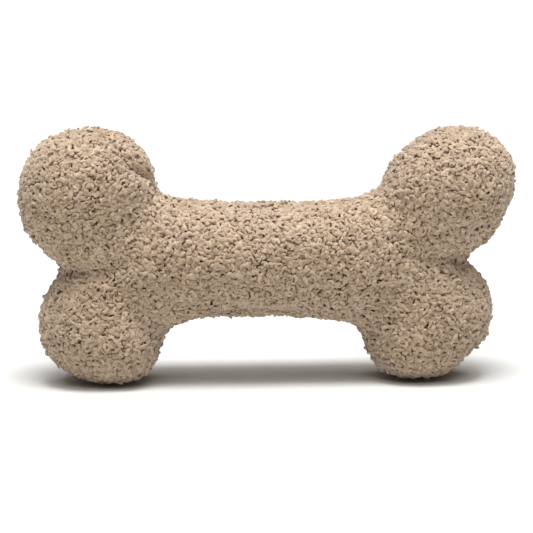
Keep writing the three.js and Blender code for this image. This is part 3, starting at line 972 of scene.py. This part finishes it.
def curl_lines(places, normals, under, trapped, pile, draw):
    """The bent centre line of each curl: one end lies deep and the other high, as shingles do.

    Trapped is the share of its height that a curl loses where the seam has caught the pile.
    """
    count, rings = len(places), pile.rings
    # Square to a normal is what is square to it and to any direction well off it
    too_near = 0.8
    helper = np.where(np.abs(normals[:, 1:2]) < too_near, (0, 1, 0), (0, 0, 1))
    level = unit(np.cross(normals, helper))
    heading = draw.uniform(0, math.tau, (count, 1))
    along = np.cos(heading) * level + np.sin(heading) * np.cross(normals, level)
    tilt = draw.uniform(0, pile.most_tilt, (count, 1))
    fall = np.cos(tilt) * np.cross(normals, along) + np.sin(tilt) * normals
    turn = pile.least_turn + (pile.most_turn - pile.least_turn) * draw.beta(*TURN_SPREAD, (count, 1))
    length = pile.shortest + (pile.longest - pile.shortest) * draw.beta(*LENGTH_SPREAD, (count, 1))
    bend = length / turn
    share = np.linspace(-0.5, 0.5, rings)
    arcs = along[:, None] * (bend * np.sin(turn * share))[..., None]
    arcs = arcs - fall[:, None] * (bend * (1 - np.cos(turn * share)))[..., None]
    middle = arcs.mean(1, keepdims=True)
    arcs -= middle - (middle * normals[:, None]).sum(2, keepdims=True) * normals[:, None]
    waves = draw.uniform(*BEND_WAVES, (count, 1))
    sway = np.sin((share + 0.5) * waves + draw.uniform(0, math.tau, (count, 1)))
    arcs += sway[..., None] * draw.normal(0, pile.sway, (count, 1, 3))
    clumps = pile.clump * np.array([noise.noise(Vector(place) / pile.clump_size) for place in places])
    top = draw.uniform(pile.lowest, pile.highest, (count, 1)) - under * pile.under_drop + clumps[:, None]
    shingled = pile.shingle * (share + draw.normal(0, HEIGHT_SPREAD_SHARE, (count, 1)))
    rise = (top + shingled) * (1 - trapped)
    return places[:, None] + normals[:, None] * rise[..., None] + arcs


def curl_radii(count, under, pile, draw):
    """Each curl's radius round its rings: thin at its ends, uneven, and wider than it is high."""
    share = np.linspace(0, 1, pile.rings)
    profile = TIP_SHARE + (1 - TIP_SHARE) * np.sin(math.pi * share) ** TIP_POWER
    waves = draw.uniform(*THICKNESS_WAVES, (count, 1))
    waves = np.sin(share * waves + draw.uniform(0, math.tau, (count, 1)))
    thick = draw.uniform(pile.thinnest, pile.thickest, (count, 1)) * (1 + under * (pile.under_swell - 1))
    thick = thick * profile * (1 + pile.unevenness * waves)
    turn = np.arange(pile.corners) * math.tau / pile.corners
    flat = np.hypot(pile.flatness * np.cos(turn), np.sin(turn) / pile.flatness)
    uneven = draw.uniform(1 - pile.unevenness, 1 + pile.unevenness, (count, pile.rings, pile.corners))
    return thick[..., None] * flat * uneven


def openness(points, outward, cell):
    """How open each point of the pile lies, for the painted shade: one on top of it, and zero under as much
    pile as is round it.
    """
    # How far over a point pile covers it, and the room round the pile that this takes, in cells
    heights, margin = (1.5, 2.5), 4
    low = points.min(0) - margin * cell
    shape = ((points.max(0) + margin * cell - low) / cell).astype(int) + 1

    def crowd_at(places):
        return np.ravel_multi_index(((places - low) / cell).astype(int).T, shape)

    crowd = np.bincount(crowd_at(points), minlength=shape.prod()).reshape(shape).astype(float)
    # Each cell shares half its crowd with its two neighbours along each axis in turn
    for axis in range(3):
        crowd = (np.roll(crowd, 1, axis) + 2 * crowd + np.roll(crowd, -1, axis)) / 4
    crowd = crowd.ravel()
    usual = np.median(crowd[crowd_at(points)])
    over = sum(crowd[crowd_at(points + outward * cell * height)] for height in heights) / len(heights)
    return np.clip(1 - over / usual, 0, 1)


def lock_places(lines, radii, draw):
    """Each point's place in its own straightened curl: along it, and its two offsets from the middle.

    Each curl's places start somewhere else, so that no two curls have the same strands.
    """
    count, rings, corners = radii.shape
    along = np.linalg.norm(np.gradient(lines, axis=1), axis=2).cumsum(1)
    turn = np.arange(corners) * math.tau / corners
    body = np.stack(
        [np.repeat(along[..., None], corners, 2), radii * np.cos(turn), radii * np.sin(turn)], -1
    ).reshape(count, -1, 3)
    tips = np.zeros((count, 2, 3))
    tips[:, 1, 0] = along[:, -1]
    return np.concatenate([body, tips], 1) + draw.uniform(0, 1, (count, 1, 3))


def curl_piece(name, points, outward, marks, pile, material):
    """One patch of pile: a bent lumpy lock for each curl, with its marks kept on its points.

    Light goes through a fluffy lock's loose edge, so its normals lean to those of the cloth below.
    """
    mesh = tube_mesh(name, points, pile.rings, pile.corners)
    leaning = unit(coordinates(mesh, "normals") * (1 - pile.fluff) + outward.reshape(-1, 3) * pile.fluff)
    mesh.normals_split_custom_set_from_vertices(leaning)
    for kind, values in marks.items():
        form, field = ("FLOAT_VECTOR", "vector") if values.ndim == 3 else ("FLOAT", "value")
        mesh.attributes.new(kind, form, "POINT").data.foreach_set(field, values.astype(np.float32).ravel())
    lay_out_bake(mesh, len(points), pile.rings, pile.corners)
    return add_object(name, mesh, material)


def lay_out_bake(mesh, count, rings, corners):
    """Gives each curl a cell of its own in the OFBake UV map, with a margin."""
    used_share = 0.84
    across = math.ceil(math.sqrt(count))
    cell = np.stack([np.arange(count) % across, np.arange(count) // across], -1)[:, None]
    ring, side = (part.ravel() for part in np.indices((rings - 1, corners)))
    low, high, turn = ring + 1, ring + 2, np.arange(corners)

    def laid(*face):
        return np.stack([np.stack(np.broadcast_arrays(*corner), -1) for corner in face], 1).reshape(-1, 2)

    sides = laid((low, side), (high, side), (high, side + 1), (low, side + 1))
    first_tip = laid((1, turn), (1, turn + 1), (0, turn + 0.5))
    last_tip = laid((rings, turn + 1), (rings, turn), (rings + 1, turn + 0.5))
    uv = []
    for part in (sides, np.concatenate([first_tip, last_tip])):
        local = part / (rings + 1, corners) * used_share + (1 - used_share) / 2
        uv.append(((cell + local) / across).reshape(-1, 2))
    uv = np.concatenate(uv).astype(np.float32)
    mesh.uv_layers.new(name="OFBake").data.foreach_set("uv", uv.ravel())


def patch_of(places):
    """The name of the wad of filling that each place lies over, the shaft's in two halves."""
    low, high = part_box("shaft_filling")
    split = (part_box("upper_left_filling")[0].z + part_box("lower_left_filling")[1].z) / 2
    ends = np.where(places[:, 0] < (low.x + high.x) / 2, "left", "right")
    rows = np.where(places[:, 2] > split, "upper_", "lower_")
    shaft = (places[:, 0] > low.x) & (places[:, 0] < high.x)
    return np.char.add(np.where(shaft, "shaft_", rows), ends)


class MakePile(bpy.types.Operator):
    """Make the curly sherpa pile that stands on the covers, in patches over the wads of filling"""

    bl_idname = "plush_bone.make_pile"
    bl_label = "Sherpa pile"

    def execute(self, context):
        sizes = context.scene.plush_bone
        pile = sizes.pile
        draw = np.random.default_rng(pile.seed)
        material = sherpa_pile(sizes.colours)
        for name, side in SIDES.items():
            cover = bpy.data.objects[f"{name}_cover"].data
            layers = [spread_places(cover, pile.spacing, draw) for _ in range(pile.layers)]
            places, normals = (np.concatenate(parts) for parts in zip(*layers))
            under = np.repeat(np.linspace(0, 1, pile.layers), [len(layer[0]) for layer in layers])
            clear = from_seam(places, side) > pile.bare
            places, normals, under = places[clear], normals[clear], under[clear, None]
            trapped = pile.trapped_share * caught(places, side, pile)[:, None]
            lines = curl_lines(places, normals, under, trapped, pile, draw)
            radii = curl_radii(len(places), under, pile, draw)
            points = tube_points(lines, radii, pile.corners, normals[:, None])
            points[..., 2] = above(points[..., 2], 0, FLOOR_EASE)
            part_at_seam(points, side, pile)
            outward = np.broadcast_to(normals[:, None], points.shape)
            # Painted shade: the open mark, lowered further along the seam by the seam shade, darkens covered
            # pile and the seam's groove
            freely = openness(points.reshape(-1, 3), outward.reshape(-1, 3), pile.crowding)
            tint = np.clip(draw.normal(TINT, TINT_SPREAD, len(places)), 0, 1)
            marks = {
                "open": freely.reshape(points.shape[:2]) * (1 - pile.seam_shade * caught(points, side, pile)),
                "tint": np.broadcast_to(tint[:, None], points.shape[:2]),
                "lock": lock_places(lines, radii, draw),
            }
            patches = patch_of(places)
            for patch in sorted(set(patches)):
                own = patches == patch
                kept = {kind: values[own] for kind, values in marks.items()}
                piece = curl_piece(f"{name}_pile_{patch}", points[own], outward[own], kept, pile, material)
                soften(piece)
        return {"FINISHED"}


# Threads


def rim_line(name):
    """The rim of a cover, as a closed loop of points in order."""
    mesh = bpy.data.objects[name].data
    order = rim_numbers(mesh)
    numbered = np.flatnonzero(order > PLAIN)
    return coordinates(mesh)[numbered[np.argsort(order[numbered])]]


def over_opening(points):
    """Which points lie in the stretch of the shaft's lower edge that is closed by hand."""
    low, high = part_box("closing_thread")
    return (points[:, 0] > low.x) & (points[:, 0] < high.x) & (points[:, 2] < SQUEAKER_MIDDLE.z)


def thread_piece(name, line, reference, thread, material):
    """A twisted thread of three plies along a line of evenly spaced points."""
    corners, plies, groove_share = 8, 3, 0.13
    turn = np.arange(corners) * math.tau / corners
    along = np.arange(len(line)) * np.linalg.norm(line[1] - line[0])
    wave = np.cos(plies * (turn[None] - along[:, None] * math.tau / thread.twist))
    radii = thread.radius * (1 + groove_share * wave)
    points = tube_points(line[None], radii[None], corners, reference)
    return add_object(name, tube_mesh(name, points, len(line), corners), material)


def machine_stitches(side, thread, cover):
    """The line of one thread of the lockstitch, from one end of the opening round to the other."""
    points_a_stitch = 8
    rim = rim_line(f"{'front' if side < 0 else 'back'}_cover")
    opening = over_opening(rim)
    first = np.flatnonzero(opening & ~np.roll(opening, -1))[0] + 1
    order = np.roll(np.arange(len(rim)), -first)
    order = order[~opening[order]]
    line = evenly((rim + inward(rim) * thread.inset)[order], thread.stitch / points_a_stitch)
    lift = np.sqrt(np.abs(np.sin(math.pi * np.arange(len(line)) / points_a_stitch)))
    level = cover.seam_gap + cover.allowance_flare * thread.inset / cover.allowance
    level += cover.backing + thread.radius
    line[:, 1] = side * (level - thread.dip * (1 - lift))
    return unsheared(line)


def closing_stitches(thread):
    """The ladder stitch's line: it runs along inside one cover, then crosses the seam to the other."""
    # How far in and out of the cloth the thread goes, and the step between its points
    bite, step = 1.5 * thread.radius, 0.5 * MM
    rim = rim_line("front_cover")
    rim = rim[over_opening(rim)]
    rim = rim[np.argsort(rim[:, 0])]
    count = round((rim[-1, 0] - rim[0, 0]) / thread.rung)
    corners = []
    for stitch, x in enumerate(np.linspace(rim[0, 0], rim[-1, 0], count + 1)):
        edge = np.interp(x, rim[:, 0], rim[:, 2])
        before, after = ((-1) ** (stitch + way) * thread.rung_reach for way in (0, 1))
        outside, inside = edge - bite, edge + bite
        corners += [(x, before, inside), (x, before, outside), (x, after, outside), (x, after, inside)]
    return unsheared(evenly(np.array(corners), step))


class MakeThreads(bpy.types.Operator):
    """Make the two threads of the lockstitched seam, and the ladder stitch that closes the opening"""

    bl_idname = "plush_bone.make_threads"
    bl_label = "Threads"

    def execute(self, context):
        sizes = context.scene.plush_bone
        material = spun_thread(sizes.colours)
        # Directions that these threads never run along
        across, upward = np.array((0.0, 1.0, 0.0)), np.array((0.0, 0.3, 1.0))
        lines = {
            "seam_needle": (machine_stitches(-1, sizes.thread, sizes.cover), across),
            "seam_bobbin": (machine_stitches(1, sizes.thread, sizes.cover), across),
            "closing": (closing_stitches(sizes.thread), upward),
        }
        for name, (line, reference) in lines.items():
            piece = thread_piece(f"{name}_stitches", line, reference, sizes.thread, material)
            soften(piece)
            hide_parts(f"{name}_thread")
        return {"FINISHED"}


# Stuffing


def inside_covers(points, room):
    """Points moved to lie at least that much inside the outer faces of the covers."""
    corners, faces = [], []
    for name in SIDES:
        mesh = bpy.data.objects[f"{name}_cover"].data
        rim = rim_numbers(mesh)
        start = sum(len(part) for part in corners)
        corners.append(coordinates(mesh))
        faces += [
            [start + corner for corner in face.vertices]
            for face in mesh.polygons
            if rim[list(face.vertices)].min() > TURNED_IN
        ]
    skin = BVHTree.FromPolygons(np.concatenate(corners).tolist(), faces)
    moved = []
    for point in points:
        nearest, normal, _, _ = skin.find_nearest(point)
        depth = (nearest - Vector(point)).dot(normal)
        moved.append(Vector(point) - normal * max(room - depth, 0))
    return np.array(moved)


class MakeStuffing(bpy.types.Operator):
    """Make the wads of fibrefill: loose clumps of fibre with hollows between them"""

    bl_idname = "plush_bone.make_stuffing"
    bl_label = "Stuffing"

    def execute(self, context):
        sizes = context.scene.plush_bone
        stuffing = sizes.stuffing
        material = hollow_fibrefill()
        for name in FILLINGS:
            piece = add_object(f"{name}_wad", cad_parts[name].data.copy(), material)
            remesh = piece.modifiers.new("grid", "REMESH")
            remesh.mode, remesh.voxel_size = "VOXEL", stuffing.voxel
            piece.modifiers.new("smooth", "SMOOTH").iterations = 8
            mesh = after_modifiers(piece)
            points, normals = coordinates(mesh), coordinates(mesh, "normals")
            hollows = [abs(noise.noise(Vector(point) / stuffing.tuft_size)) for point in points]
            depth = stuffing.slack + stuffing.tuft * np.array(hollows)
            room = sizes.cover.backing + stuffing.slack
            move_points(mesh, inside_covers(points - normals * depth[:, None], room))
            mesh.shade_smooth()
            soften(piece)
            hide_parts(name)
        return {"FINISHED"}


# Pouch

# Breadth of the pouch's hem, and the power that makes its bowls square at their edge: 1 for round ones
HEM, SQUARENESS = 1.9 * MM, 0.25


def pouch_profile(side, squeaker):
    """Radius and depth along one bowl of the pouch, from its middle out to the edge of its hem."""
    low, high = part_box("pouch_front")
    rim, depth = (high.x - low.x) / 2, -low.y
    bowl, foot = rim - HEM, 2 * squeaker.cloth
    bowl_points, hem_points = 28, 4
    turn = np.linspace(0, math.pi / 2, bowl_points)
    radii = bowl * np.sin(turn) ** SQUARENESS
    depths = foot + (depth - squeaker.gather_depth - foot) * np.cos(turn) ** SQUARENESS
    radii[0] = 0
    hem = np.linspace(bowl, rim, hem_points)[1:]
    return list(zip([*radii, *hem], [*(side * depths), *(side * foot + 0 * hem)]))


class MakePouch(bpy.types.Operator):
    """Make the two bowls of the squeaker's pouch, gathered to their hem, and the stitches of the hem"""

    bl_idname = "plush_bone.make_pouch"
    bl_label = "Squeaker pouch"

    def execute(self, context):
        sizes = context.scene.plush_bone
        squeaker, thread = sizes.squeaker, sizes.thread
        material = spunbond_nonwoven()
        low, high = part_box("pouch_front")
        rim = (high.x - low.x) / 2
        # Where the gathers are deepest and how broad they are, and how finely the bowls are turned
        gathers_at, gathers_reach, steps = 0.9 * rim, 0.12 * rim, 8 * squeaker.gathers
        for name, side in SIDES.items():
            mesh = turned(f"{name}_bowl", pouch_profile(side, squeaker), SQUEAKER_MIDDLE, steps)
            points, normals = coordinates(mesh), coordinates(mesh, "normals")
            outward = normals * np.sign((normals[:, 1] * side).sum())
            offset = points - np.array(SQUEAKER_MIDDLE)
            angle, radius = np.arctan2(offset[:, 2], offset[:, 0]), np.hypot(offset[:, 0], offset[:, 2])
            gathered = np.exp(-(((radius - gathers_at) / gathers_reach) ** 2))
            folds = squeaker.gather_depth * np.cos(angle * squeaker.gathers) * gathered
            move_points(mesh, points + outward * folds[:, None])
            piece = add_object(f"{name}_bowl", mesh, material)
            wall = piece.modifiers.new("cloth", "SOLIDIFY")
            wall.thickness, wall.offset = squeaker.cloth, 0
            soften(piece)
            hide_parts(f"pouch_{name}")
        low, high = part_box("pouch_thread")
        radius, level = (high.x - low.x) / 2 - thread.radius, (low.y + high.y) / 2
        stitches, places = 44, 360
        turn = np.linspace(0, math.tau, places + 1)[:-1]
        lift = np.sqrt(np.abs(np.sin(turn * stitches / 2)))
        line = np.stack(
            [
                SQUEAKER_MIDDLE.x + radius * np.cos(turn),
                level - thread.dip * (1 - lift) / 2,
                SQUEAKER_MIDDLE.z + radius * np.sin(turn),
            ],
            1,
        )
        across = np.array((0.0, 1.0, 0.0))
        piece = thread_piece("pouch_stitches", line, across, thread, spun_thread(sizes.colours))
        soften(piece)
        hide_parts("pouch_thread")
        return {"FINISHED"}


# Squeaker


def dress_node(name, material):
    """Gives a CAD node that stays its finished material."""
    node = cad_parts[name]
    if not node.material_slots:
        node.data.materials.append(material)
    for slot in node.material_slots:
        slot.material = material


class MakeSqueaker(bpy.types.Operator):
    """Make the folded wall between the squeaker's two shells, and finish the shells"""

    bl_idname = "plush_bone.make_squeaker"
    bl_label = "Squeaker"

    def execute(self, context):
        squeaker = context.scene.plush_bone.squeaker
        material = soft_polyethylene()
        for name in ("squeaker_front_shell", "squeaker_back_shell"):
            dress_node(name, material)
        low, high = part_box("squeaker_bellows")
        points_a_fold, steps_round = 12, 96
        share = np.linspace(0, 1, points_a_fold * squeaker.folds + 1)
        waves = (1 - np.cos(share * math.tau * squeaker.folds)) / 2
        outside = (high.x - low.x) / 2 - squeaker.fold_depth * waves
        depth = low.y + (high.y - low.y) * share
        profile = [*zip(outside, depth), *zip(outside[::-1] - squeaker.wall, depth[::-1])]
        mesh = turned("folded_wall", profile, SQUEAKER_MIDDLE, steps_round, closed=True)
        piece = add_object("folded_wall", mesh, material)
        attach(piece, TOY)
        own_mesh(piece)
        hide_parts("squeaker_bellows")
        return {"FINISHED"}


class MakeReed(bpy.types.Operator):
    """Finish the reed's two halves and its tongue"""

    bl_idname = "plush_bone.make_reed"
    bl_label = "Reed"

    def execute(self, context):
        plastic = stiff_polypropylene()
        for name in ("reed_base", "reed_cover"):
            dress_node(name, plastic)
        dress_node("reed_tongue", polyester_film())
        return {"FINISHED"}


# Stage

# The camera stands where the toy was seen from: its place round the toy, and what the frame shows
AZIMUTH, ELEVATION, DISTANCE = math.radians(-4), math.radians(10), 1.2
AIM = Vector((-1 * MM, 0, 68.1 * MM))
FRAME_WIDTH = 315.5 * MM
SENSOR_WIDTH = 36.0
# How near and how far the camera sees, and how far the floor reaches
NEAREST, FARTHEST, FLOOR_REACH = 0.05, 50, 30.0
# The lamps overhead, with how broad each looks from the toy; both are as strong and tilt as much
LAMPS = (("overhead_lamp", math.radians(20)), ("overhead_softbox", math.radians(70)))
LAMP_STRENGTH, LAMP_TILT = 2.65, math.radians(10)
# The colour and the strength of the light from all round
STUDIO_COLOUR, STUDIO_STRENGTH = "#FFF9F2", 0.13


class MakeStage(bpy.types.Operator):
    """Make the pale floor, the soft studio light and the camera"""

    bl_idname = "plush_bone.make_stage"
    bl_label = "Stage"

    def execute(self, context):
        scene = context.scene
        corners = np.array([(-1, -1, 0), (1, -1, 0), (1, 1, 0), (-1, 1, 0)]) * FLOOR_REACH
        add_object("floor", make_mesh("floor", corners, np.array([[0, 1, 2, 3]])), floor_paint())

        world = bpy.data.worlds.new("studio")
        world.use_nodes = True
        background = world.node_tree.nodes["Background"]
        background.inputs["Color"].default_value = (*linear(STUDIO_COLOUR), 1)
        background.inputs["Strength"].default_value = STUDIO_STRENGTH
        scene.world = world
        for name, angle in LAMPS:
            light = bpy.data.lights.new(name, "SUN")
            light.energy, light.angle = LAMP_STRENGTH, angle
            lamp = bpy.data.objects.new(name, light)
            lamp.rotation_euler = (LAMP_TILT, 0, 0)
            scene.collection.objects.link(lamp)

        data = bpy.data.cameras.new("camera")
        data.sensor_width = SENSOR_WIDTH
        data.lens = SENSOR_WIDTH * DISTANCE / FRAME_WIDTH
        data.clip_start, data.clip_end = NEAREST, FARTHEST
        camera = bpy.data.objects.new("camera", data)
        level = math.cos(ELEVATION)
        back = Vector((math.sin(AZIMUTH) * level, -math.cos(AZIMUTH) * level, math.sin(ELEVATION)))
        camera.location = AIM + back * DISTANCE
        camera.rotation_euler = (-back).to_track_quat("-Z", "Y").to_euler()
        scene.collection.objects.link(camera)
        scene.camera = camera
        scene.view_settings.view_transform = "Standard"
        return {"FINISHED"}


OPERATORS = (
    MakeCovers,
    MakePile,
    MakeThreads,
    MakeStuffing,
    MakePouch,
    MakeSqueaker,
    MakeReed,
    MakeStage,
)


class PlushBonePanel(bpy.types.Panel):
    """Lists the operators that make the toy"""

    bl_idname = "VIEW3D_PT_plush_bone"
    bl_label = "Plush Bone"
    bl_space_type = "VIEW_3D"
    bl_region_type = "UI"
    bl_category = "Plush Bone"

    def draw(self, context):
        for operator in OPERATORS:
            self.layout.operator(operator.bl_idname)


GROUPS = (PlushCover, PlushPile, PlushThread, PlushStuffing, PlushSqueaker, PlushColours, PlushBone)
CLASSES = (*GROUPS, *OPERATORS, PlushBonePanel)


def register():
    """Makes the groups, operators and panel known, and gives the scene its sizes."""
    for kind in CLASSES:
        bpy.utils.register_class(kind)
    bpy.types.Scene.plush_bone = PointerProperty(type=PlushBone)


def unregister():
    """Takes back what register() did."""
    del bpy.types.Scene.plush_bone
    for kind in reversed(CLASSES):
        bpy.utils.unregister_class(kind)


def main():
    """Makes the toy and its stage."""
    register()
    for operator in OPERATORS:
        family, name = operator.bl_idname.split(".")
        getattr(getattr(bpy.ops, family), name)()


if __name__ == "__main__":
    main()
